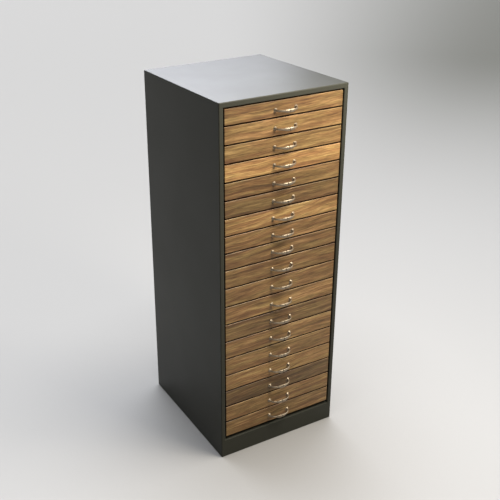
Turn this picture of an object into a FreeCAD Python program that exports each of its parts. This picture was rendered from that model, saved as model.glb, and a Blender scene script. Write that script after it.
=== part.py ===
import FreeCAD, Part
import math
import os

# Eyewear storage cabinet: a folded steel body with one column of shallow drawers behind wooden fronts.
# Lengths are in millimetres. X runs to the right, Y to the back and Z up. The origin is at floor level,
# in the middle of the width and in the middle of the whole depth, pulls included.

# Body
body_width = 400.0
body_depth = 440.0
shell_sheet = 1.2
bend_radius = 2.5
stile_width = 13.0
top_rail_height = 14.5
plinth_height = 60.0
front_return = 15.0
rear_flange = 15.0
deck_flange = 12.0
back_sheet = 1.0
back_clearance = 1.5

# Drawer fronts, from the top down: a slim one and three banks
slim_front_height = 44.1
upper_drawers = 8
upper_front_height = 48.0
middle_drawers = 6
middle_front_height = 53.6
lower_drawers = 4
lower_front_height = 51.3
front_thickness = 16.0
front_recess = 1.5
front_arris = 1.0
side_gap = 3.5
top_gap = 3.5
seam = 2.6
base_gap = 10.3

# Trays
tray_sheet = 0.9
rim_drop = 7.0
tray_lift = 4.0
hem_width = 8.0
hem_height = 6.0
ear_reach = 5.5
return_clearance = 1.0
tray_rear_clearance = 12.0
drawer_travel = 300.0

# Runner rails
rail_sheet = 1.2
running_clearance = 0.4
guide_clearance = 1.0
rail_front_clearance = 0.3
rail_rear_clearance = 2.0
stop_clearance = 0.3

# Bow pulls
pull_centres = 64.0
pull_projection = 24.5
foot_size = 11.5
flare_height = 7.0
neck_size = 5.2
grip_length = 34.0
grip_height = 9.6
grip_thickness = 5.8
grip_fullness = 4
pull_drop = 3.0
flare_stations = 3
bow_stations = 8
section_chamfer_share = 0.29
flatness = 1e-6


# Heights: the drawers, their gaps, the plinth and the top rail add up to the body's height
front_heights = (
    [slim_front_height]
    + [upper_front_height] * upper_drawers
    + [middle_front_height] * middle_drawers
    + [lower_front_height] * lower_drawers
)
opening_bottom = plinth_height
fronts_height = sum(front_heights) + seam * (len(front_heights) - 1)
opening_top = opening_bottom + base_gap + fronts_height + top_gap
body_height = opening_top + top_rail_height

# Depths: the pulls stand out past the body's front, and the origin is in the middle of the whole depth
pull_overhang = pull_projection - front_recess
whole_depth = body_depth + pull_overhang
body_front = -whole_depth / 2 + pull_overhang
body_back = body_front + body_depth
front_face = body_front + front_recess
front_rear = front_face + front_thickness
back_panel_rear = body_back - shell_sheet
back_panel_front = back_panel_rear - back_sheet
tray_front = front_rear
tray_rear = back_panel_front - tray_rear_clearance
rail_front = front_rear + rail_front_clearance
rail_rear = back_panel_front - rail_rear_clearance

# Half widths, measured from the middle plane
body_half = body_width / 2
wall_inside = body_half - shell_sheet
opening_half = body_half - stile_width
front_half = opening_half - side_gap
hem_half = opening_half - return_clearance
tray_half = hem_half - hem_width
ear_half = hem_half + ear_reach
flange_tip = tray_half + guide_clearance

# Heights measured from a drawer's rim, which is the top of its tray
channel_above = running_clearance
channel_below = hem_height + running_clearance


def block(x0, x1, y0, y1, z0, z1):
    """A box between two corners."""
    return Part.makeBox(x1 - x0, y1 - y0, z1 - z0, FreeCAD.Vector(x0, y0, z0))


def prism_along_y(outline, y0, y1):
    """A solid with this outline, a list of (x, z), that runs from y0 to y1."""
    points = [FreeCAD.Vector(x, y0, z) for x, z in outline]
    wire = Part.makePolygon(points + points[:1])
    return Part.Face(wire).extrude(FreeCAD.Vector(0, y1 - y0, 0))


def mirrored(shape):
    """The same piece on the other side of the middle plane."""
    return shape.mirror(FreeCAD.Vector(0, 0, 0), FreeCAD.Vector(1, 0, 0))


def bent_block(inset, radius):
    """The body's block, drawn in all round, with its folded edges rounded."""
    half = body_half - inset
    solid = block(-half, half, body_front + inset, body_back - inset, inset, body_height - inset)
    return solid.makeFillet(radius, solid.Edges)


def opening_edges(shape, depth, outset):
    """The four edges round the front opening, this far behind the body's front and outside the opening."""
    plane = body_front + depth
    side = opening_half + outset
    levels = (opening_bottom - outset, opening_top + outset)
    found = []
    for edge in shape.Edges:
        middle = edge.CenterOfMass
        upright = abs(abs(middle.x) - side) < flatness
        level = abs(middle.x) < flatness and min(abs(middle.z - z) for z in levels) < flatness
        if abs(middle.y - plane) < flatness and (upright or level):
            found.append(edge)
    return found


def wrap():
    """Top, sides, front frame, plinth and bottom, with flanges turned in round the open back."""
    inner_bend = bend_radius - shell_sheet
    shell = bent_block(0.0, bend_radius).cut(bent_block(shell_sheet, inner_bend))
    outer_half = opening_half + shell_sheet
    lip_rear = body_front + front_return
    lips = block(-outer_half, outer_half, body_front + shell_sheet, lip_rear, opening_bottom - shell_sheet,
                 opening_top + shell_sheet)
    front_opening = block(-opening_half, opening_half, body_front - 1, lip_rear + 1, opening_bottom, opening_top)
    rear_half = body_half - rear_flange
    rear_opening = block(-rear_half, rear_half, body_back - bend_radius, body_back + 1, plinth_height,
                         body_height - rear_flange)
    frame = shell.fuse(lips).cut(front_opening).cut(rear_opening).removeSplitter()
    frame = frame.makeFillet(inner_bend, opening_edges(frame, shell_sheet, shell_sheet))
    return frame.makeFillet(bend_radius, opening_edges(frame, 0.0, 0.0))


def floor_deck():
    """The sheet under the lowest drawer, with its long edges turned down along the sides."""
    top = opening_bottom - shell_sheet
    underside = top - shell_sheet
    front = body_front + bend_radius
    deck = block(-wall_inside, wall_inside, front, back_panel_front, underside, top)
    flange = block(wall_inside - shell_sheet, wall_inside, front, back_panel_front, underside - deck_flange, top)
    return deck.fuse(flange).fuse(mirrored(flange)).removeSplitter()


def back_panel():
    """The flat sheet that closes the back, held inside the rear flanges and the plinth's back."""
    half = wall_inside - back_clearance
    return block(-half, half, back_panel_front, back_panel_rear, plinth_height - rear_flange,
                 body_height - shell_sheet - back_clearance)


def runner_rail(rim):
    """The right-hand C channel for the hem of one tray, with the tab that stops the tray's ear."""
    top = rim + channel_above
    bottom = rim - channel_below
    tip = flange_tip
    web = wall_inside - rail_sheet
    outline = [
        (wall_inside, bottom - rail_sheet),
        (wall_inside, top + rail_sheet),
        (tip, top + rail_sheet),
        (tip, top),
        (web, top),
        (web, bottom),
        (tip, bottom),
        (tip, bottom - rail_sheet),
    ]
    channel = prism_along_y(outline, rail_front, rail_rear)
    ear_front = tray_rear - tray_sheet
    tab_rear = ear_front - drawer_travel - stop_clearance
    tab = block(opening_half, web, tab_rear - rail_sheet, tab_rear, bottom, top)
    return channel.fuse(tab).removeSplitter()


def tray(underside, rim):
    """One drawer's folded tray: bottom, walls, rims hemmed outwards and ears at the back."""
    inside = tray_half - tray_sheet
    hem_inside = hem_half - tray_sheet
    right_half = [
        (tray_half, underside),
        (tray_half, rim - tray_sheet),
        (hem_inside, rim - tray_sheet),
        (hem_inside, rim - hem_height),
        (hem_half, rim - hem_height),
        (hem_half, rim),
        (inside, rim),
        (inside, underside + tray_sheet),
    ]
    left_half = [(-x, z) for x, z in reversed(right_half)]
    trough = prism_along_y(right_half + left_half, tray_front, tray_rear)
    front_wall = block(-tray_half, tray_half, tray_front, tray_front + tray_sheet, underside, rim)
    rear_wall = block(-tray_half, tray_half, tray_rear - tray_sheet, tray_rear, underside, rim)
    ears = block(-ear_half, ear_half, tray_rear - tray_sheet, tray_rear, rim - hem_height, rim)
    return trough.fuse([front_wall, rear_wall, ears]).removeSplitter()


def front_board(bottom, top):
    """One wooden drawer front, with the edges of its face eased."""
    board = block(-front_half, front_half, front_face, front_rear, bottom, top)
    face_edges = [edge for edge in board.Edges if abs(edge.CenterOfMass.y - front_face) < front_arris / 2]
    return board.makeChamfer(front_arris, face_edges)


def flat_loft(sections):
    """A solid through sections with as many corners each, given as lists of points, with flat faces between."""
    outlines = [sections[0], sections[-1]]
    count = len(sections[0])
    for near, far in zip(sections, sections[1:]):
        for k in range(count):
            following = (k + 1) % count
            a, b, c, d = near[k], near[following], far[following], far[k]
            normal = (b - a).cross(c - a).normalize()
            if abs(normal.dot(d - a)) < flatness:
                outlines.append([a, b, c, d])
            else:
                outlines.append([a, b, c])
                outlines.append([a, c, d])
    faces = [Part.Face(Part.makePolygon(outline + outline[:1])) for outline in outlines]
    return Part.Solid(Part.Shell(faces))


def pull_section(centre, angle, thickness, height):
    """The eight corners of a section square to the pull's centre line, at (x, distance from the front)."""
    chamfer = section_chamfer_share * min(thickness, height)
    across = thickness / 2
    up = height / 2
    corners = [
        (across, up - chamfer),
        (across - chamfer, up),
        (chamfer - across, up),
        (-across, up - chamfer),
        (-across, chamfer - up),
        (chamfer - across, -up),
        (across - chamfer, -up),
        (across, chamfer - up),
    ]
    x, out = centre
    return [
        FreeCAD.Vector(x + side * math.cos(angle), -out - side * math.sin(angle), z)
        for side, z in corners
    ]


def pull_half_sections():
    """Sections from the right foot to just before the middle of the grip, along a half ellipse."""
    reach = pull_centres / 2
    line_out = pull_projection - grip_thickness / 2
    flare_turn = math.asin(flare_height / line_out)
    turns = [flare_turn * k / flare_stations for k in range(flare_stations)]
    turns += [flare_turn + (math.pi / 2 - flare_turn) * k / bow_stations for k in range(bow_stations)]
    sections = []
    for turn in turns:
        x = reach * math.cos(turn)
        out = line_out * math.sin(turn)
        angle = math.atan2(reach * math.sin(turn), line_out * math.cos(turn))
        flare = (foot_size - neck_size) * max(0.0, 1 - out / flare_height) ** 2
        swell = max(0.0, 1 - (2 * x / grip_length) ** grip_fullness)
        thickness = neck_size + flare + (grip_thickness - neck_size) * swell
        height = neck_size + flare + (grip_height - neck_size) * swell
        sections.append(pull_section((x, out), angle, thickness, height))
    return sections


def bow_pull(height):
    """One pull, a bow on two flared feet, seated on the face of its front at this height."""
    right = pull_half_sections()
    left = [[FreeCAD.Vector(-p.x, p.y, p.z) for p in section] for section in reversed(right)]
    middle_out = pull_projection - grip_thickness / 2
    middle = pull_section((0.0, middle_out), math.pi / 2, grip_thickness, grip_height)
    bow = flat_loft(right + [middle] + left)
    return bow.translated(FreeCAD.Vector(0, front_face, height))


def export(shape, node):
    """Write one node."""
    shape.exportStep("parts/" + node + ".step")


def main():
    os.makedirs("parts", exist_ok=True)
    export(Part.makeCompound([wrap(), floor_deck()]), "cabinet_shell")
    export(back_panel(), "back_panel")
    rails = []
    top = opening_top - top_gap
    for number, height in enumerate(front_heights, start=1):
        bottom = top - height
        rim = top - rim_drop
        name = "%02d" % number
        export(front_board(bottom, top), "drawer_front_" + name)
        export(tray(bottom + tray_lift, rim), "drawer_tray_" + name)
        export(bow_pull((top + bottom) / 2 - pull_drop), "bow_pull_" + name)
        rail = runner_rail(rim)
        rails += [rail, mirrored(rail)]
        top = bottom - seam
    export(Part.makeCompound(rails), "runner_rails")
    print("body height", round(body_height, 3), "whole depth", round(whole_depth, 3))


main()
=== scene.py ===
# %% [markdown]
# # Eyewear storage cabinet
# A tall steel cabinet holds nineteen shallow drawers for spectacles. Its body is folded sheet with a charcoal
# powder coat, each drawer has a solid wooden front, and a small bow pull sits in the middle of each front.
# The engineering model gives every sheet, board and runner at its real size. This lesson dresses that model:
# it gives each surface its finish, replaces the plain pulls with smooth ones, and adds the small parts that the
# engineering model leaves out. We load the model first, because everything else is placed from it.

# %% Load the engineering model
import math
import random

import bpy
from mathutils import Matrix, Vector


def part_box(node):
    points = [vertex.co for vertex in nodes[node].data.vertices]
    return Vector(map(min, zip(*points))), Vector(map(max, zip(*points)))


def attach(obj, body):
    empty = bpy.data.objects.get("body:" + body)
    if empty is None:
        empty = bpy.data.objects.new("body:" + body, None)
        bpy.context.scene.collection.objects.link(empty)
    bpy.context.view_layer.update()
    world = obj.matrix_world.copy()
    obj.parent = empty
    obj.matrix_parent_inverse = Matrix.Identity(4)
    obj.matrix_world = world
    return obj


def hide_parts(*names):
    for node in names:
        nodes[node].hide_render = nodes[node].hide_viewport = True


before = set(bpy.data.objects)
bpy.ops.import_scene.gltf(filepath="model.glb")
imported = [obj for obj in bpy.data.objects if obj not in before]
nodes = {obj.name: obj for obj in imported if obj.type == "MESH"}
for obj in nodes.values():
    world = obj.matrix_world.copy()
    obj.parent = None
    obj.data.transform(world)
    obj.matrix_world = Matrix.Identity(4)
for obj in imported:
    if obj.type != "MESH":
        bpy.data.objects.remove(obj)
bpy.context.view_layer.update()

# %% [markdown]
# ## Sizes
# Blender works in metres here, and a maker of cabinets thinks in millimetres, so one value turns one into the
# other. The places of the boards, trays and the back come from the model's own boxes. If a board were made taller,
# everything below would follow it.

# %% Sizes and places
MM = 0.001

drawer_numbers = sorted(name[-2:] for name in nodes if name.startswith("drawer_front_"))
first_low, first_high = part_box("drawer_front_" + drawer_numbers[0])
shell_low, shell_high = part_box("cabinet_shell")
front_face_y = first_low.y
print("drawers", len(drawer_numbers), "front width mm", round((first_high.x - first_low.x) / MM, 1))

# %% [markdown]
# ## Colours and shader nodes
# Paint and wood colours are easiest to pick as the hex values that a screen shows. Light adds up in linear
# values, so one function turns each hex value to linear. A second function adds one shader node: plain values
# fill its settings and sockets, and a socket that is given as a value is linked. Every material uses just these.

# %% Colour and node helpers
def linear(hex_colour):
    """The linear red, green, blue and alpha of an sRGB hex colour such as '#3a3b37'."""
    channels = [int(hex_colour[k:k + 2], 16) / 255 for k in (1, 3, 5)]
    curved = [c / 12.92 if c <= 0.04045 else ((c + 0.055) / 1.055) ** 2.4 for c in channels]
    return (*curved, 1.0)


def add_node(tree, kind, settings, sockets):
    """Add one node to a tree, set its settings, and fill or link its sockets."""
    made = tree.nodes.new(kind)
    for name, value in settings.items():
        setattr(made, name, value)
    for name, value in sockets.items():
        if isinstance(value, bpy.types.NodeSocket):
            tree.links.new(value, made.inputs[name])
        else:
            made.inputs[name].default_value = value
    return made


def new_material(name):
    """An empty material with its output node, and the tree to fill."""
    material = bpy.data.materials.new(name)
    material.use_nodes = True
    tree = material.node_tree
    tree.nodes.clear()
    return material, tree


print("mid grey", [round(c, 3) for c in linear("#808080")])

# %% [markdown]
# ## Charcoal powder coat
# The body and the trays are painted with polyester powder coat: dry powder is sprayed on charged steel and baked.
# It melts to an even satin film with a faint orange peel, soft swells about two millimetres apart. The film is a
# dielectric over an opaque pigment, so it is dark where we look straight at it and bright where light glances off,
# as on the top. Polyester's refractive index is about 1.5. It is lower here, matched to the photograph, whose sides
# mirror little of the pale floor. A noise bump gives the orange peel, and a slow noise in the roughness gives the
# cloudy sheen that a hand-sprayed panel has.

# %% Powder coat
ORANGE_PEEL_MM = 2.0
ORANGE_PEEL_DEPTH_MM = 0.05
SHEEN_CLOUD_MM = 160.0
SHEEN_SPREAD = 0.03


def powder_coat(name, hex_colour, hex_fleck, roughness):
    """Satin powder coat in one pigment with slightly darker flecks in it."""
    material, tree = new_material(name)
    place = add_node(tree, "ShaderNodeTexCoord", {}, {})
    peel = add_node(tree, "ShaderNodeTexNoise", {}, {
        "Vector": place.outputs["Object"], "Scale": 1 / (ORANGE_PEEL_MM * MM), "Detail": 1.0, "Roughness": 0.4})
    cloud = add_node(tree, "ShaderNodeTexNoise", {}, {
        "Vector": place.outputs["Object"], "Scale": 1 / (SHEEN_CLOUD_MM * MM), "Detail": 3.0, "Roughness": 0.5})
    pigment = add_node(tree, "ShaderNodeMix", {"data_type": "RGBA"}, {
        0: peel.outputs["Fac"], 6: linear(hex_fleck), 7: linear(hex_colour)})
    sheen = add_node(tree, "ShaderNodeMapRange", {}, {
        "Value": cloud.outputs["Fac"], "From Min": 0.3, "From Max": 0.7,
        "To Min": roughness - SHEEN_SPREAD, "To Max": roughness + SHEEN_SPREAD})
    swell = add_node(tree, "ShaderNodeBump", {}, {
        "Height": peel.outputs["Fac"], "Strength": 0.12, "Distance": ORANGE_PEEL_DEPTH_MM * MM})
    film = add_node(tree, "ShaderNodeBsdfPrincipled", {}, {
        "Base Color": pigment.outputs[2], "Roughness": sheen.outputs["Result"], "IOR": 1.2,
        "Normal": swell.outputs["Normal"]})
    add_node(tree, "ShaderNodeOutputMaterial", {}, {"Surface": film.outputs["BSDF"]})
    return material


body_coat = powder_coat("charcoal_powder_coat", "#3e3f39", "#383933", 0.34)
tray_coat = powder_coat("tray_powder_coat", "#3f403d", "#393a37", 0.42)
print("coats", body_coat.name, tray_coat.name)

# %% [markdown]
# ## Zinc-plated runners
# The runner rails are folded from zinc-plated steel. Bright zinc is a pale bluish metal, and barrel plating leaves
# it slightly cloudy, with fine rolling lines along the strip. The lines are noise that is stretched along the
# rail, which runs from front to back. Real rolling lines are about a tenth of a millimetre apart. These are drawn
# ten times as coarse, so that they show at all.

# %% Zinc plate
ROLLING_LINE_MM = 1.2
ROLLING_LENGTH_MM = 60.0
ZINC_GLOSS_SPREAD = 0.08


def zinc_plate(name, hex_bright, hex_dull, roughness):
    """Bright zinc plate on rolled steel strip, with its lines along Y."""
    material, tree = new_material(name)
    place = add_node(tree, "ShaderNodeTexCoord", {}, {})
    along = (1 / (ROLLING_LINE_MM * MM), 1 / (ROLLING_LENGTH_MM * MM), 1 / (ROLLING_LINE_MM * MM))
    stretched = add_node(tree, "ShaderNodeMapping", {}, {"Vector": place.outputs["Object"], "Scale": along})
    lines = add_node(tree, "ShaderNodeTexNoise", {}, {
        "Vector": stretched.outputs["Vector"], "Scale": 1.0, "Detail": 2.0})
    tone = add_node(tree, "ShaderNodeMix", {"data_type": "RGBA"}, {
        0: lines.outputs["Fac"], 6: linear(hex_dull), 7: linear(hex_bright)})
    gloss = add_node(tree, "ShaderNodeMapRange", {}, {
        "Value": lines.outputs["Fac"], "To Min": roughness - ZINC_GLOSS_SPREAD,
        "To Max": roughness + ZINC_GLOSS_SPREAD})
    plate = add_node(tree, "ShaderNodeBsdfPrincipled", {}, {
        "Base Color": tone.outputs[2], "Metallic": 1.0, "Roughness": gloss.outputs["Result"]})
    add_node(tree, "ShaderNodeOutputMaterial", {}, {"Surface": plate.outputs["BSDF"]})
    return material


rail_zinc = zinc_plate("bright_zinc_plate", "#c9ccd0", "#a2a6aa", 0.34)
screw_zinc = zinc_plate("screw_zinc_plate", "#c4c5c6", "#9a9c9e", 0.28)
print("zinc", rail_zinc.name, screw_zinc.name)

# %% [markdown]
# ## Oiled walnut fronts
# Each front is one solid board with its grain running across the cabinet. A board is cut from a log, so its
# streaks are thin layers of wood seen edge on: long and almost level, drifting up and down where the trunk was
# not straight. Noises stretched along the board make them: broad bands of heartwood, narrow streaks, fine pores
# and a slow change between a redder and a greener brown. A slow noise bends them all first. Real pores are about
# a fifth of a millimetre wide. These are drawn coarser, so that they show at all. The edges behind the face, the
# arris under it and a thin strip up the face from its lower edge are painted near black: painted shade, so that
# the seam between two drawers reads as a dark line.

# %% Grain and painted seam shade
BAND_MM = (240.0, 30.0, 11.0)
STREAK_MM = (60.0, 10.0, 3.2)
PORE_MM = (26.0, 2.2, 1.4)
WARMTH_MM = (110.0, 40.0, 14.0)
DRIFT_MM = 150.0
DRIFT_HEIGHT_MM = 9.0
# Painted shade in the seams: it starts this far behind the face and creeps this far up from the board's lower edge.
SEAM_SHADE_START_MM = 0.9
SEAM_SHADE_FULL_MM = 1.3
SEAM_SHADE_CREEP_MM = 2.1


def grain_noise(tree, vector, cell_mm, detail):
    """Noise whose cells are this long, deep and tall, in millimetres."""
    stretched = add_node(tree, "ShaderNodeMapping", {}, {
        "Vector": vector, "Scale": tuple(1 / (size * MM) for size in cell_mm)})
    return add_node(tree, "ShaderNodeTexNoise", {}, {
        "Vector": stretched.outputs["Vector"], "Scale": 1.0, "Detail": detail, "Roughness": 0.55})


def seam_shade_mask(tree, place, board_foot):
    """How much a point lies in the painted seam shade: 1 behind the face or along its lower edge, and 0 on the face.
    """
    apart = add_node(tree, "ShaderNodeSeparateXYZ", {}, {"Vector": place.outputs["Object"]})
    behind = add_node(tree, "ShaderNodeMapRange", {}, {
        "Value": apart.outputs["Y"], "From Min": front_face_y + SEAM_SHADE_START_MM * MM,
        "From Max": front_face_y + SEAM_SHADE_FULL_MM * MM})
    low_down = add_node(tree, "ShaderNodeMapRange", {}, {
        "Value": apart.outputs["Z"], "From Min": board_foot + 1.1 * SEAM_SHADE_CREEP_MM * MM,
        "From Max": board_foot + 0.9 * SEAM_SHADE_CREEP_MM * MM})
    return add_node(tree, "ShaderNodeMath", {"operation": "MAXIMUM"}, {
        0: behind.outputs["Result"], 1: low_down.outputs["Result"]})


print("grain bands mm", BAND_MM, "streaks mm", STREAK_MM, "pores mm", PORE_MM)

# %% [markdown]
# One function makes the material of one board, because no two boards come from the same place in the log. Each takes
# its own place in the noise and its own tone. The saw rarely follows the grain exactly, so each board's grain also
# rises by up to four degrees to the right. A ramp turns the bands and streaks into the wood's browns, the pores
# darken it and dent it, and the oil lies a little glossier where a streak is dense. The painted seam shade is near
# black and reflects almost nothing.

# %% Walnut boards
HEARTWOOD = [(0.35, "#594029"), (0.465, "#745a3b"), (0.535, "#846a47"), (0.65, "#a0845d")]
PORE_RELIEF_MM = 0.15


def walnut_board(name, log_place, slope, tone, board_foot):
    """Oiled walnut for one board, its grain rising to the right by the slope. Tones above 1 are lighter."""
    material, tree = new_material(name)
    place = add_node(tree, "ShaderNodeTexCoord", {}, {})
    in_log = add_node(tree, "ShaderNodeMapping", {}, {
        "Vector": place.outputs["Object"], "Location": log_place, "Rotation": (0.0, slope, 0.0)})
    drift = add_node(tree, "ShaderNodeTexNoise", {}, {
        "Vector": in_log.outputs["Vector"], "Scale": 1 / (DRIFT_MM * MM), "Detail": 1.0})
    drift_height = add_node(tree, "ShaderNodeMapRange", {}, {
        "Value": drift.outputs["Fac"], "To Min": -DRIFT_HEIGHT_MM * MM, "To Max": DRIFT_HEIGHT_MM * MM})
    drift_shift = add_node(tree, "ShaderNodeCombineXYZ", {}, {"Z": drift_height.outputs["Result"]})
    bent = add_node(tree, "ShaderNodeVectorMath", {"operation": "ADD"}, {
        0: in_log.outputs["Vector"], 1: drift_shift.outputs["Vector"]})
    bands = grain_noise(tree, bent.outputs["Vector"], BAND_MM, 2.0)
    streaks = grain_noise(tree, bent.outputs["Vector"], STREAK_MM, 3.0)
    pores = grain_noise(tree, bent.outputs["Vector"], PORE_MM, 2.0)
    figure = add_node(tree, "ShaderNodeMix", {"data_type": "FLOAT"}, {
        0: 0.5, 2: bands.outputs["Fac"], 3: streaks.outputs["Fac"]})
    wood = add_node(tree, "ShaderNodeValToRGB", {}, {"Fac": figure.outputs[0]})
    ramp = wood.color_ramp.elements
    while len(ramp) < len(HEARTWOOD):
        ramp.new(0.5)
    for element, (position, hex_colour) in zip(ramp, HEARTWOOD):
        element.position = position
        element.color = tuple(tone * c for c in linear(hex_colour)[:3]) + (1.0,)
    warmth = grain_noise(tree, bent.outputs["Vector"], WARMTH_MM, 1.0)
    hue = add_node(tree, "ShaderNodeMapRange", {}, {
        "Value": warmth.outputs["Fac"], "From Min": 0.38, "From Max": 0.62})
    tint = add_node(tree, "ShaderNodeMix", {"data_type": "RGBA"}, {
        0: hue.outputs["Result"], 6: linear("#fff4ec"), 7: linear("#fafcec")})
    tinted = add_node(tree, "ShaderNodeMix", {"data_type": "RGBA", "blend_type": "MULTIPLY"}, {
        0: 1.0, 6: wood.outputs["Color"], 7: tint.outputs[2]})
    pore_depth = add_node(tree, "ShaderNodeMapRange", {}, {
        "Value": pores.outputs["Fac"], "From Min": 0.38, "From Max": 0.54, "To Min": 0.62, "To Max": 1.0})
    surface = add_node(tree, "ShaderNodeMix", {"data_type": "RGBA", "blend_type": "MULTIPLY"}, {
        0: 1.0, 6: tinted.outputs[2], 7: pore_depth.outputs["Result"]})
    # Painted shade along the seams: the edges behind the face and a thin strip above the lower edge go near black.
    seam_shade = seam_shade_mask(tree, place, board_foot)
    seam_shaded = add_node(tree, "ShaderNodeMix", {"data_type": "RGBA"}, {
        0: seam_shade.outputs[0], 6: surface.outputs[2], 7: linear("#1f0d04")})
    relief = add_node(tree, "ShaderNodeBump", {}, {
        "Height": pore_depth.outputs["Result"], "Strength": 0.25, "Distance": PORE_RELIEF_MM * MM})
    # The painted seam shade also reflects almost nothing.
    reflectance = add_node(tree, "ShaderNodeMapRange", {}, {
        "Value": seam_shade.outputs[0], "To Min": 0.5, "To Max": 0.05})
    oil = add_node(tree, "ShaderNodeMapRange", {}, {
        "Value": streaks.outputs["Fac"], "To Min": 0.52, "To Max": 0.38})
    board = add_node(tree, "ShaderNodeBsdfPrincipled", {}, {
        "Base Color": seam_shaded.outputs[2], "Roughness": oil.outputs["Result"], "IOR": 1.46,
        "Specular IOR Level": reflectance.outputs["Result"],
        "Normal": relief.outputs["Normal"]})
    add_node(tree, "ShaderNodeOutputMaterial", {}, {"Surface": board.outputs["BSDF"]})
    return material


MEAN_TONE = 1.13
TONE_SPREAD = 0.06
LOG_REACH = 4.0
SLOPE_DEG = (0.5, 4.0)

pick = random.Random(19)
saw = random.Random(4)
board_shift = {"01": -0.20, "03": -0.02, "04": 0.70, "05": -0.16, "06": -0.38, "07": 0.42, "09": -0.20,
               "10": -0.10, "12": 0.22, "13": -0.18, "14": 0.17, "15": 0.23, "16": 0.50, "17": -0.34,
               "18": 0.30, "19": 0.14}
walnut = {}
for number in drawer_numbers:
    board_tone = MEAN_TONE + pick.uniform(-TONE_SPREAD, TONE_SPREAD) + board_shift.get(number, 0.0)
    from_log = tuple(pick.uniform(-LOG_REACH, LOG_REACH) for axis in "xyz")
    slope = math.radians(saw.uniform(*SLOPE_DEG))
    board_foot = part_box("drawer_front_" + number)[0].z
    walnut[number] = walnut_board("oiled_walnut_" + number, from_log, slope, board_tone, board_foot)
print("boards", len(walnut))

# %% [markdown]
# ## Satin nickel pulls
# The pulls are zinc castings, plated with a warm champagne nickel and lightly brushed. Nickel is a metal, so its
# colour is the colour of its reflections. A satin finish blurs them, and faint brushing makes them uneven. Real
# brushing is finer than a fifth of a millimetre, and this is drawn coarser, so that it shows at all.

# %% Satin nickel
BRUSHING_MM = 0.8
NICKEL_GLOSS_SPREAD = 0.06


def satin_nickel(name, hex_colour, roughness):
    """Warm satin nickel plate with a faint uneven brushing."""
    material, tree = new_material(name)
    place = add_node(tree, "ShaderNodeTexCoord", {}, {})
    brushing = add_node(tree, "ShaderNodeTexNoise", {}, {
        "Vector": place.outputs["Object"], "Scale": 1 / (BRUSHING_MM * MM), "Detail": 2.0})
    gloss = add_node(tree, "ShaderNodeMapRange", {}, {
        "Value": brushing.outputs["Fac"], "To Min": roughness - NICKEL_GLOSS_SPREAD,
        "To Max": roughness + NICKEL_GLOSS_SPREAD})
    plate = add_node(tree, "ShaderNodeBsdfPrincipled", {}, {
        "Base Color": linear(hex_colour), "Metallic": 1.0, "Roughness": gloss.outputs["Result"]})
    add_node(tree, "ShaderNodeOutputMaterial", {}, {"Surface": plate.outputs["BSDF"]})
    return material


pull_nickel = satin_nickel("satin_champagne_nickel", "#968a79", 0.48)
print("pull finish", pull_nickel.name)

# %% [markdown]
# ## Flocked drawer inserts
# Drawers for spectacles are lined so that lenses and frames don't scratch. The insert is a thin moulded sheet with
# a flocked surface: short nylon fibres stand in glue, so it looks matt and soft, with a pale bloom where we look
# across it. Fine noise breaks up the colour and the height, and the shader's own sheen gives the bloom. Real fibres
# are about half a millimetre long, and the noise is drawn a little coarser, so that it shows.

# %% Flock
FIBRE_MM = 0.9
NAP_MM = 0.3


def flock(name, hex_fibre, hex_gap):
    """Short nylon fibres on a moulded sheet."""
    material, tree = new_material(name)
    place = add_node(tree, "ShaderNodeTexCoord", {}, {})
    fibres = add_node(tree, "ShaderNodeTexNoise", {}, {
        "Vector": place.outputs["Object"], "Scale": 1 / (FIBRE_MM * MM), "Detail": 3.0, "Roughness": 0.7})
    tone = add_node(tree, "ShaderNodeMix", {"data_type": "RGBA"}, {
        0: fibres.outputs["Fac"], 6: linear(hex_gap), 7: linear(hex_fibre)})
    nap = add_node(tree, "ShaderNodeBump", {}, {
        "Height": fibres.outputs["Fac"], "Strength": 0.5, "Distance": NAP_MM * MM})
    pile = add_node(tree, "ShaderNodeBsdfPrincipled", {}, {
        "Base Color": tone.outputs[2], "Roughness": 0.95, "Sheen Weight": 0.35, "Sheen Roughness": 0.4,
        "Normal": nap.outputs["Normal"]})
    add_node(tree, "ShaderNodeOutputMaterial", {}, {"Surface": pile.outputs["BSDF"]})
    return material


insert_flock = flock("grey_nylon_flock", "#77746d", "#5d5a54")
print("insert finish", insert_flock.name)

# %% [markdown]
# ## Soft edges on sheet and board
# The folded body comes with round folds, and its mesh already knows their normals, so it only needs its paint.
# The boards, trays and runners come with sharp edges. An oiled arris or a sheared edge is never knife sharp, and
# its thin highlight is what draws the line between two drawers, so these get a fine bevel. After a bevel the
# normals have to favour the large faces, or each board would shade as if it were pillowed.

# %% Finishes and bevels
SMOOTH_ANGLE_DEG = 30.0
WELD_MM = 0.005


def smooth_faces_group():
    """A modifier's node group that shades every face of a mesh smooth."""
    group = bpy.data.node_groups.new("shade_smooth", "GeometryNodeTree")
    group.interface.new_socket("Geometry", in_out="INPUT", socket_type="NodeSocketGeometry")
    group.interface.new_socket("Geometry", in_out="OUTPUT", socket_type="NodeSocketGeometry")
    mesh_in = add_node(group, "NodeGroupInput", {}, {})
    faces = add_node(group, "GeometryNodeSetShadeSmooth", {"domain": "FACE"}, {
        "Geometry": mesh_in.outputs[0], "Shade Smooth": True})
    add_node(group, "NodeGroupOutput", {}, {0: faces.outputs[0]})
    return group


shade_smooth = smooth_faces_group()


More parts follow.
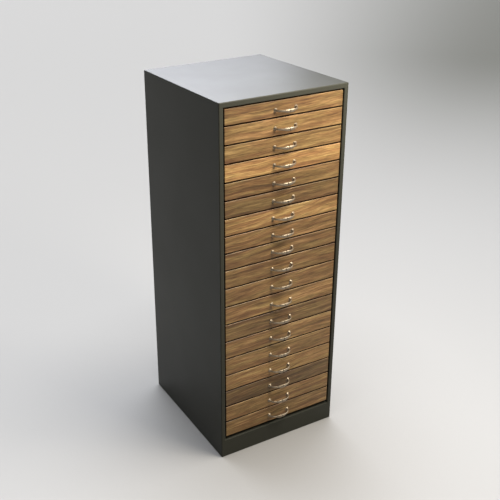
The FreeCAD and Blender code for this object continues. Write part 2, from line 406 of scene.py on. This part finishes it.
def dress(node_name, material, bevel_mm=0.0):
    """Give one node of the engineering model its finish and, if asked, a fine bevel with flat large faces."""
    target = nodes[node_name]
    for slot in target.material_slots:
        slot.material = material
    if bevel_mm:
        weld = target.modifiers.new("weld", "WELD")
        weld.merge_threshold = WELD_MM * MM
        bevel = target.modifiers.new("fine_bevel", "BEVEL")
        bevel.width = bevel_mm * MM
        bevel.segments = 2
        bevel.limit_method = "ANGLE"
        bevel.angle_limit = math.radians(SMOOTH_ANGLE_DEG)
        smooth = target.modifiers.new("smooth", "NODES")
        smooth.node_group = shade_smooth
        weighted = target.modifiers.new("flat_large_faces", "WEIGHTED_NORMAL")
        weighted.weight = 100


dress("cabinet_shell", body_coat)
dress("back_panel", body_coat, bevel_mm=0.2)
dress("runner_rails", rail_zinc, bevel_mm=0.3)
for number in drawer_numbers:
    dress("drawer_front_" + number, walnut[number], bevel_mm=0.3)
    dress("drawer_tray_" + number, tray_coat, bevel_mm=0.25)
print("dressed", 3 + 2 * len(drawer_numbers))

# %% [markdown]
# ## Meshes from rings
# The pull and the screws are both long or round shapes that one outline makes as it moves and changes size. A
# helper joins a row of outlines, each with as many points, into one closed skin. It is the same idea as a loft in
# a drawing office, and it keeps the mesh clean: four-sided faces everywhere and a single cap at each end.

# %% Skin over rings
SHARP_ANGLE_DEG = 40.0


def skin(name, rings, material):
    """A closed mesh through rings of points, with a cap at each end, shaded smooth by angle."""
    count = len(rings[0])
    points = [point for ring in rings for point in ring]
    faces = [list(reversed(range(count)))]
    for r in range(len(rings) - 1):
        for k in range(count):
            following = (k + 1) % count
            faces.append([r * count + k, r * count + following,
                          (r + 1) * count + following, (r + 1) * count + k])
    last = (len(rings) - 1) * count
    faces.append([last + k for k in range(count)])
    mesh = bpy.data.meshes.new(name)
    mesh.from_pydata(points, [], faces)
    mesh.validate()
    mesh.shade_smooth()
    mesh.set_sharp_from_angle(angle=math.radians(SHARP_ANGLE_DEG))
    mesh.materials.append(material)
    return mesh


def place_piece(name, mesh, location, body):
    """Put a mesh at a place and let it ride on a body."""
    piece = bpy.data.objects.new(name, mesh)
    bpy.context.scene.collection.objects.link(piece)
    piece.location = location
    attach(piece, body)
    return piece


print("ring helper ready")

# %% [markdown]
# ## Bow pulls
# A bow pull is a bar bent to a half ellipse on two feet. Each foot flares out where it meets the wood, the bar is
# slim at its ends, and its middle swells to a fuller grip for the finger. The engineering model has it with an
# eight-sided section. Here the same centre line carries a section that is nearly an ellipse, with many more
# points, so the highlights run along it without facets. The screws are 64 mm apart, and the pull sits a little
# below the middle of its board.

# %% Bow pull
PULL_CENTRES_MM = 64.0
PULL_PROJECTION_MM = 24.5
FOOT_MM = 11.5
FLARE_MM = 7.0
NECK_MM = 5.2
GRIP_LENGTH_MM = 34.0
GRIP_HEIGHT_MM = 9.6
GRIP_THICKNESS_MM = 5.8
GRIP_FULLNESS = 4
PULL_DROP_MM = 3.0
SECTION_POINTS = 24
SECTION_SQUARENESS = 2.3
FLARE_RINGS = 8
BOW_RINGS = 24


def round_section(centre, angle, thickness, height):
    """A ring square to the pull's centre line, at (x, distance from the front), in millimetres."""
    x, out = centre
    ring = []
    for k in range(SECTION_POINTS):
        turn = 2 * math.pi * k / SECTION_POINTS
        side = math.copysign(abs(math.cos(turn)) ** (2 / SECTION_SQUARENESS), math.cos(turn)) * thickness / 2
        rise = math.copysign(abs(math.sin(turn)) ** (2 / SECTION_SQUARENESS), math.sin(turn)) * height / 2
        ring.append(Vector((x + side * math.cos(angle), -out - side * math.sin(angle), rise)))
    return ring


def pull_rings():
    """Rings from the right foot over the grip to the left foot, in millimetres."""
    reach = PULL_CENTRES_MM / 2
    line_out = PULL_PROJECTION_MM - GRIP_THICKNESS_MM / 2
    flare_turn = math.asin(FLARE_MM / line_out)
    turns = [flare_turn * k / FLARE_RINGS for k in range(FLARE_RINGS)]
    turns += [flare_turn + (math.pi / 2 - flare_turn) * k / BOW_RINGS for k in range(BOW_RINGS + 1)]
    rings = []
    for turn in turns:
        x, out = reach * math.cos(turn), line_out * math.sin(turn)
        angle = math.atan2(reach * math.sin(turn), line_out * math.cos(turn))
        flare = (FOOT_MM - NECK_MM) * max(0.0, 1 - out / FLARE_MM) ** 2
        swell = max(0.0, 1 - (2 * x / GRIP_LENGTH_MM) ** GRIP_FULLNESS)
        thickness = NECK_MM + flare + (GRIP_THICKNESS_MM - NECK_MM) * swell
        height = NECK_MM + flare + (GRIP_HEIGHT_MM - NECK_MM) * swell
        rings.append(round_section((x, out), angle, thickness, height))
    left_half = []
    for ring in reversed(rings[:-1]):
        mirrored = [Vector((-p.x, p.y, p.z)) for p in ring]
        half_turn = SECTION_POINTS // 2
        left_half.append([mirrored[(half_turn - k) % SECTION_POINTS] for k in range(SECTION_POINTS)])
    return rings + left_half


def in_metres(rings):
    """The same rings in metres."""
    return [[point * MM for point in ring] for ring in rings]


pull_mesh = skin("bow_pull_mesh", in_metres(pull_rings()), pull_nickel)
for number in drawer_numbers:
    low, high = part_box("drawer_front_" + number)
    seat = Vector((0.0, front_face_y, (low.z + high.z) / 2 - PULL_DROP_MM * MM))
    pull = place_piece("pull_" + number, pull_mesh, seat, "drawer_" + number)
    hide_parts("bow_pull_" + number)
print("pull rings", len(pull_rings()), "faces", len(pull_mesh.polygons))

# %% [markdown]
# ## Screws
# Two pan-head screws hold each pull. They go in from inside the drawer, through the tray's front wall and the
# board, so they show only when a drawer is open. The back panel is held by flat countersunk screws, whose faces
# stand a hair proud of the flange. Both kinds have a cross recess. A cross can be seen from its centre, so each of
# its corners has one angle: the same rings that make the dome can end in the cross and step down into it.

# %% Screws
RECESS_ARM_MM = 1.9
RECESS_WIDTH_MM = 0.95
RECESS_DEPTH_MM = 1.5
RECESS_FOOT_SHARE = 0.6
PAN_RADIUS_MM = 4.0
PAN_HEIGHT_MM = 2.6
PAN_RIM_SHARE = 0.35
FLAT_RADIUS_MM = 3.6
FLAT_PROUD_MM = 0.05
FLAT_DEPTH_MM = 0.9
TRAY_SHEET_MM = 0.9


def cross_angles():
    """The angles of a cross recess's corners, with points between them, going once round."""
    corner = math.atan2(RECESS_WIDTH_MM / 2, RECESS_ARM_MM)
    quarter = [0.0, corner, math.pi / 4, math.pi / 2 - corner]
    return [quarter_turn * math.pi / 2 + angle for quarter_turn in range(4) for angle in quarter]


def cross_ring(scale, height):
    """The outline of the cross recess at a height, in millimetres."""
    ring = []
    for angle in cross_angles():
        folded = angle % (math.pi / 2)
        near = min(folded, math.pi / 2 - folded)
        arm_end = RECESS_ARM_MM / math.cos(near)
        arm_side = RECESS_WIDTH_MM / 2 / max(math.sin(near), 1e-6)
        radius = scale * min(arm_end, arm_side)
        ring.append(Vector((radius * math.cos(angle), radius * math.sin(angle), height)))
    return ring


def circle_ring(radius, height):
    """A circle with its points at the recess's angles, in millimetres."""
    return [Vector((radius * math.cos(a), radius * math.sin(a), height)) for a in cross_angles()]


def pan_head(radius, height):
    """A domed head standing on z = 0, with its recess."""
    dome_steps = 4
    rim, crown = PAN_RIM_SHARE, 1 - PAN_RIM_SHARE
    rings = [circle_ring(radius, 0.0), circle_ring(radius, height * rim)]
    for k in range(1, dome_steps + 1):
        angle = math.pi / 2 * k / (dome_steps + 1)
        ring_height = height * (rim + crown * math.sin(angle))
        rings.append(circle_ring(radius * (rim + crown * math.cos(angle)), ring_height))
    rings.append(cross_ring(1.0, height))
    rings.append(cross_ring(RECESS_FOOT_SHARE, height - RECESS_DEPTH_MM))
    return rings


def flat_head(radius, height):
    """A countersunk head whose face stands this little above z = 0, with its recess."""
    return [
        circle_ring(radius * 0.5, -FLAT_DEPTH_MM),
        circle_ring(radius, height * 0.5),
        circle_ring(radius * 0.95, height),
        cross_ring(1.0, height),
        cross_ring(RECESS_FOOT_SHARE, height - FLAT_DEPTH_MM),
    ]


pan_mesh = skin("pan_head_screw", in_metres(pan_head(PAN_RADIUS_MM, PAN_HEIGHT_MM)), screw_zinc)
flat_mesh = skin("flat_head_screw", in_metres(flat_head(FLAT_RADIUS_MM, FLAT_PROUD_MM)), screw_zinc)
pull_screws = 0
for number in drawer_numbers:
    low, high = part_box("drawer_front_" + number)
    for side, hand in ((-1, "left"), (1, "right")):
        height = (low.z + high.z) / 2 - PULL_DROP_MM * MM
        seat = Vector((side * PULL_CENTRES_MM / 2 * MM, high.y + TRAY_SHEET_MM * MM, height))
        screw = place_piece("pull_screw_%s_%s" % (number, hand), pan_mesh, seat, "drawer_" + number)
        screw.rotation_euler = (-math.pi / 2, 0.0, 0.0)
        pull_screws += 1
print("pull screws", pull_screws)

# %% [markdown]
# The back panel's screws sit in the middle of the flanges that are turned in round the back, spaced evenly down
# each side, with one more at the middle of the top flange. Nobody lines up their recesses, so each is turned a
# little further than the one before, about its own axis.

# %% Back panel screws
REAR_FLANGE_MM = 15.0
SCREWS_PER_SIDE = 6
END_DISTANCE_MM = 45.0
PLINTH_MM = 60.0
TURN_EACH = 0.3

side_x = shell_high.x - REAR_FLANGE_MM / 2 * MM
lowest = shell_low.z + (PLINTH_MM + END_DISTANCE_MM) * MM
highest = shell_high.z - END_DISTANCE_MM * MM
back_places = [(0.0, shell_high.z - REAR_FLANGE_MM / 2 * MM)]
for k in range(SCREWS_PER_SIDE):
    height = lowest + (highest - lowest) * k / (SCREWS_PER_SIDE - 1)
    back_places += [(-side_x, height), (side_x, height)]
for k, (x, z) in enumerate(back_places, start=1):
    screw = place_piece("back_screw_%02d" % k, flat_mesh, Vector((x, shell_high.y, z)), "cabinet")
    screw.rotation_euler = (-math.pi / 2, TURN_EACH * k, 0.0)
print("back screws", len(back_places))

# %% [markdown]
# ## Drawer inserts
# Each drawer holds one moulded insert with two columns of pockets, each as long and wide as a folded pair of
# spectacles. The insert is a single sheet drawn over a mould, so its walls lean and their tops are round. A
# grid of points makes it: lines of the grid are close together at each wall and far apart in the pockets, and a
# point's height is the higher of the wall across it and the wall along it.

# %% Moulded inserts
INSERT_CLEARANCE_MM = 0.6
INSERT_SHEET_MM = 0.8
POCKET_COLUMNS = 2
POCKET_ROWS = 7
WALL_HEIGHT_MM = 17.0
WALL_TOP_MM = 3.0
WALL_FOOT_MM = 8.0
INSERT_LIFT_MM = 0.05
INSERT_SHARP_ANGLE_DEG = 60.0


def wall_lines(length, pockets):
    """Places along one direction and the wall's height at each, in millimetres, from edge to edge."""
    half_top, half_foot = WALL_TOP_MM / 2, WALL_FOOT_MM / 2
    profile = [(-half_foot, 0.0), (-half_foot * 0.82, 0.08), (-half_top * 1.2, 0.9), (-half_top * 0.6, 1.0),
               (half_top * 0.6, 1.0), (half_top * 1.2, 0.9), (half_foot * 0.82, 0.08), (half_foot, 0.0)]
    lines = []
    for k in range(pockets + 1):
        centre = -length / 2 + length * k / pockets
        if k == 0:
            chosen = [(0.0, 1.0)] + [(offset + half_top * 0.6, rise) for offset, rise in profile[4:]]
        elif k == pockets:
            chosen = [(offset - half_top * 0.6, rise) for offset, rise in profile[:4]] + [(0.0, 1.0)]
        else:
            chosen = profile
        lines += [(centre + offset, rise * WALL_HEIGHT_MM) for offset, rise in chosen]
    return lines


def insert_mesh(width, depth):
    """The moulded insert as a closed sheet, standing on z = 0, in metres."""
    across = wall_lines(width, POCKET_COLUMNS)
    along = wall_lines(depth, POCKET_ROWS)
    columns, rows = len(across), len(along)
    top = []
    for y, rise_y in along:
        for x, rise_x in across:
            top.append(Vector((x, y, INSERT_SHEET_MM + max(rise_x, rise_y))) * MM)
    bottom = [Vector((p.x, p.y, p.z - INSERT_SHEET_MM * MM)) for p in top]
    under = columns * rows
    faces = []
    for j in range(rows - 1):
        for i in range(columns - 1):
            a = j * columns + i
            b, c, d = a + 1, a + columns + 1, a + columns
            faces.append([a, b, c, d])
            faces.append([under + d, under + c, under + b, under + a])
    rim = list(range(columns))
    rim += [j * columns + columns - 1 for j in range(1, rows)]
    rim += [(rows - 1) * columns + i for i in range(columns - 2, -1, -1)]
    rim += [j * columns for j in range(rows - 2, 0, -1)]
    for k, a in enumerate(rim):
        b = rim[(k + 1) % len(rim)]
        faces.append([b, a, under + a, under + b])
    mesh = bpy.data.meshes.new("moulded_insert")
    mesh.from_pydata(top + bottom, [], faces)
    mesh.validate()
    mesh.shade_smooth()
    mesh.set_sharp_from_angle(angle=math.radians(INSERT_SHARP_ANGLE_DEG))
    mesh.materials.append(insert_flock)
    return mesh


TRAY_HALF_MM = 178.0
tray_low, tray_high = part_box("drawer_tray_" + drawer_numbers[0])
inside_width = 2 * (TRAY_HALF_MM - TRAY_SHEET_MM - INSERT_CLEARANCE_MM)
inside_depth = (tray_high.y - tray_low.y) / MM - 2 * (TRAY_SHEET_MM + INSERT_CLEARANCE_MM)
moulded = insert_mesh(inside_width, inside_depth)
for number in drawer_numbers:
    low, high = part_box("drawer_tray_" + number)
    seat = Vector((0.0, (low.y + high.y) / 2, low.z + (TRAY_SHEET_MM + INSERT_LIFT_MM) * MM))
    place_piece("spectacle_insert_" + number, moulded, seat, "drawer_" + number)
print("insert mm", round(inside_width, 1), "by", round(inside_depth, 1), "faces", len(moulded.polygons))

# %% [markdown]
# ## Camera
# The photograph was taken from the front left, from above the top of the cabinet. The camera's place, lens and
# tilt were worked out from where the corners of the body lie in the picture. The picture is a crop of a wider one,
# so its optical centre isn't in its middle, and the lens shift says by how much.

# %% Camera
PICTURE_PX = 500
FOCAL_PX = 799.9
OPTICAL_CENTRE_PX = (197.5, 229.9)
CAMERA_PLACE = (-1.1465, -1.8806, 1.6046)
AZIMUTH_DEG = -27.759
ELEVATION_DEG = 23.956
ROLL_DEG = -1.242
SENSOR_MM = 36.0


def camera_axes(azimuth, elevation, roll):
    """The camera's right, up and backward directions for angles in degrees."""
    a, e, r = math.radians(azimuth), math.radians(elevation), math.radians(roll)
    backward = Vector((math.sin(a) * math.cos(e), -math.cos(a) * math.cos(e), math.sin(e)))
    level = Vector((0, 0, 1)).cross(backward).normalized()
    upright = backward.cross(level)
    right = math.cos(r) * level + math.sin(r) * upright
    up = math.cos(r) * upright - math.sin(r) * level
    return right, up, backward


camera_data = bpy.data.cameras.new("photo_camera")
camera_data.sensor_width = SENSOR_MM
camera_data.lens = FOCAL_PX / PICTURE_PX * SENSOR_MM
camera_data.shift_x = (PICTURE_PX / 2 - OPTICAL_CENTRE_PX[0]) / PICTURE_PX
camera_data.shift_y = (OPTICAL_CENTRE_PX[1] - PICTURE_PX / 2) / PICTURE_PX
camera = bpy.data.objects.new("photo_camera", camera_data)
axes = Matrix(camera_axes(AZIMUTH_DEG, ELEVATION_DEG, ROLL_DEG)).transposed()
camera.matrix_world = Matrix.Translation(Vector(CAMERA_PLACE)) @ axes.to_4x4()
bpy.context.scene.collection.objects.link(camera)
bpy.context.scene.camera = camera
print("lens mm", round(camera_data.lens, 2), "shift", round(camera_data.shift_x, 3), round(camera_data.shift_y, 3))

# %% [markdown]
# ## Studio floor
# The cabinet stands on a pale studio floor, painted darker far off to the right as a painted falloff where the
# studio's light ends. Far away its rim curves up into a low wall, as a photographer's cove does, so that a low
# view also ends in it. Part of the floor's brightness is its own. Only the camera, mirrors and clear things see
# that part, so it puts no light on the cabinet, and it is painted darker where the cabinet covers the floor, as
# a painted contact shadow. The rest is lit by the lamps, so it holds the shadow.

# %% Floor
COVE_START = 18.0
COVE_RADIUS = 10.0
COVE_TURN_DEG = 75.0
COVE_STEPS = 12
COVE_SIDES = 96
BRIGHT_AZIMUTH = 1.08
DIM_AZIMUTH = 0.60
DIM_START = 1.2
DIM_END = 6.0
LIT_SHARE = 0.43
GLOW_SHARE = 0.38
CONTACT_REACH = 0.6
CONTACT_DEPTH = 2.0


def studio_floor(name, hex_near, hex_far, hex_dim, hex_bounce):
    """A pale, matt floor with a painted falloff, darker far off to the right, and a painted contact shadow in its
    own glow where something covers it.
    """
    material, tree = new_material(name)
    place = add_node(tree, "ShaderNodeTexCoord", {}, {})
    apart = add_node(tree, "ShaderNodeSeparateXYZ", {}, {"Vector": place.outputs["Object"]})
    azimuth = add_node(tree, "ShaderNodeMath", {"operation": "ARCTAN2"}, {
        0: apart.outputs["Y"], 1: apart.outputs["X"]})
    reach = add_node(tree, "ShaderNodeVectorMath", {"operation": "LENGTH"}, {0: place.outputs["Object"]})
    # Painted light falloff: the floor's colour turns darker far off to the right.
    sideways = add_node(tree, "ShaderNodeMapRange", {"interpolation_type": "SMOOTHSTEP"}, {
        "Value": azimuth.outputs[0], "From Min": BRIGHT_AZIMUTH, "From Max": DIM_AZIMUTH})
    outwards = add_node(tree, "ShaderNodeMapRange", {"interpolation_type": "SMOOTHSTEP"}, {
        "Value": reach.outputs["Value"], "From Min": DIM_START, "From Max": DIM_END})
    dim = add_node(tree, "ShaderNodeMath", {"operation": "MULTIPLY"}, {
        0: sideways.outputs["Result"], 1: outwards.outputs["Result"]})
    pale = add_node(tree, "ShaderNodeMix", {"data_type": "RGBA"}, {
        0: outwards.outputs["Result"], 6: linear(hex_near), 7: linear(hex_far)})
    tone = add_node(tree, "ShaderNodeMix", {"data_type": "RGBA"}, {
        0: dim.outputs[0], 6: pale.outputs[2], 7: linear(hex_dim)})
    path = add_node(tree, "ShaderNodeLightPath", {}, {})
    direct = add_node(tree, "ShaderNodeMath", {"operation": "MAXIMUM"}, {
        0: path.outputs["Is Camera Ray"], 1: path.outputs["Is Glossy Ray"]})
    seen = add_node(tree, "ShaderNodeMath", {"operation": "MAXIMUM"}, {
        0: direct.outputs[0], 1: path.outputs["Is Transmission Ray"]})
    lit = add_node(tree, "ShaderNodeMix", {"data_type": "RGBA"}, {
        0: LIT_SHARE, 6: linear("#000000"), 7: tone.outputs[2]})
    shown = add_node(tree, "ShaderNodeMix", {"data_type": "RGBA"}, {
        0: seen.outputs[0], 6: linear(hex_bounce), 7: lit.outputs[2]})
    # Painted contact shadow: the floor's own glow darkens where the cabinet covers it.
    openness = add_node(tree, "ShaderNodeAmbientOcclusion", {}, {"Distance": CONTACT_REACH})
    contact = add_node(tree, "ShaderNodeMath", {"operation": "POWER"}, {
        0: openness.outputs["AO"], 1: CONTACT_DEPTH})
    own_glow = add_node(tree, "ShaderNodeMath", {"operation": "MULTIPLY"}, {0: contact.outputs[0], 1: GLOW_SHARE})
    glow = add_node(tree, "ShaderNodeMath", {"operation": "MULTIPLY"}, {
        0: own_glow.outputs[0], 1: seen.outputs[0]})
    matt = add_node(tree, "ShaderNodeBsdfPrincipled", {}, {
        "Base Color": shown.outputs[2], "Roughness": 0.8, "IOR": 1.3,
        "Emission Color": tone.outputs[2], "Emission Strength": glow.outputs[0]})
    add_node(tree, "ShaderNodeOutputMaterial", {}, {"Surface": matt.outputs["BSDF"]})
    return material


def cove_mesh(name):
    """A round level floor whose rim curves up into a low wall, in metres."""
    points, faces = [], [list(range(COVE_SIDES))]
    for step in range(COVE_STEPS + 1):
        turn = math.radians(COVE_TURN_DEG) * step / COVE_STEPS
        radius = COVE_START + COVE_RADIUS * math.sin(turn)
        for k in range(COVE_SIDES):
            side = 2 * math.pi * k / COVE_SIDES
            points.append((radius * math.cos(side), radius * math.sin(side), COVE_RADIUS * (1 - math.cos(turn))))
    for step in range(COVE_STEPS):
        for k in range(COVE_SIDES):
            inner, following = step * COVE_SIDES + k, step * COVE_SIDES + (k + 1) % COVE_SIDES
            faces.append([inner, inner + COVE_SIDES, following + COVE_SIDES, following])
    mesh = bpy.data.meshes.new(name)
    mesh.from_pydata(points, [], faces)
    mesh.shade_smooth()
    return mesh


floor_mesh = cove_mesh("studio_floor")
floor_mesh.materials.append(studio_floor("pale_studio_floor", "#dddddd", "#dbdbdb", "#878883", "#75736c"))
floor = bpy.data.objects.new("studio_floor", floor_mesh)
bpy.context.scene.collection.objects.link(floor)
print("floor faces", len(floor_mesh.polygons))

# %% [markdown]
# ## Light
# A wide soft sky above the cabinet and behind it lights the floor evenly and puts the shadow in front. A second
# one, like a window on the right, puts a fainter shadow to its left. The key light is a small soft box near the
# top drawers, in front and to the right, so its light falls off down the drawers. The large card behind is what the
# top reflects, and surfaces that scatter light don't see it. A dim, plain world fills the shadows, and the lamps
# stay out of the camera's sight.

# %% Lamps and world
def aim(lamp, place, target):
    """Put a lamp at a place, facing its target."""
    lamp.location = place
    lamp.rotation_euler = (Vector(place) - Vector(target)).to_track_quat("Z", "Y").to_euler()
    lamp.visible_camera = False
    bpy.context.scene.collection.objects.link(lamp)
    return lamp


def soft_box(name, place, target, width, height, spread_deg, watts, hex_colour):
    """A rectangular area lamp that faces its target and hides from the camera."""
    lamp_data = bpy.data.lights.new(name, "AREA")
    lamp_data.shape = "RECTANGLE"
    lamp_data.size = width
    lamp_data.size_y = height
    lamp_data.spread = math.radians(spread_deg)
    lamp_data.energy = watts
    lamp_data.color = linear(hex_colour)[:3]
    return aim(bpy.data.objects.new(name, lamp_data), place, target)


def soft_sky(name, place, spread_deg, strength, hex_colour):
    """A sun lamp as wide as a lit ceiling, shining from a place to the origin."""
    lamp_data = bpy.data.lights.new(name, "SUN")
    lamp_data.angle = math.radians(spread_deg)
    lamp_data.energy = strength
    lamp_data.color = linear(hex_colour)[:3]
    return aim(bpy.data.objects.new(name, lamp_data), place, (0.0, 0.0, 0.0))


soft_sky("ceiling_light", (0.25, 0.8, 1.2), 60.0, 3.3, "#f8faff")
soft_sky("window_light", (1.0, -0.35, 0.75), 40.0, 1.9, "#fff7ea")
soft_box("key_box", (0.32, -0.78, 1.5), (0.0, -0.2, 0.9), 0.45, 0.45, 180.0, 18.6, "#fff4e2")
card = soft_box("reflection_card", (0.87, 2.7, 2.9), (0.0, 0.0, 1.09), 2.3, 2.2, 60.0, 25.0, "#f2f5ff")
card.visible_diffuse = False

world = bpy.data.worlds.new("studio_air")
world.use_nodes = True
world.node_tree.nodes.clear()
air = add_node(world.node_tree, "ShaderNodeBackground", {}, {"Color": linear("#e8e8e6"), "Strength": 0.12})
add_node(world.node_tree, "ShaderNodeOutputWorld", {}, {"Surface": air.outputs["Background"]})
bpy.context.scene.world = world
bpy.context.scene.view_settings.view_transform = "Standard"
print("lamps", len(bpy.data.lights))
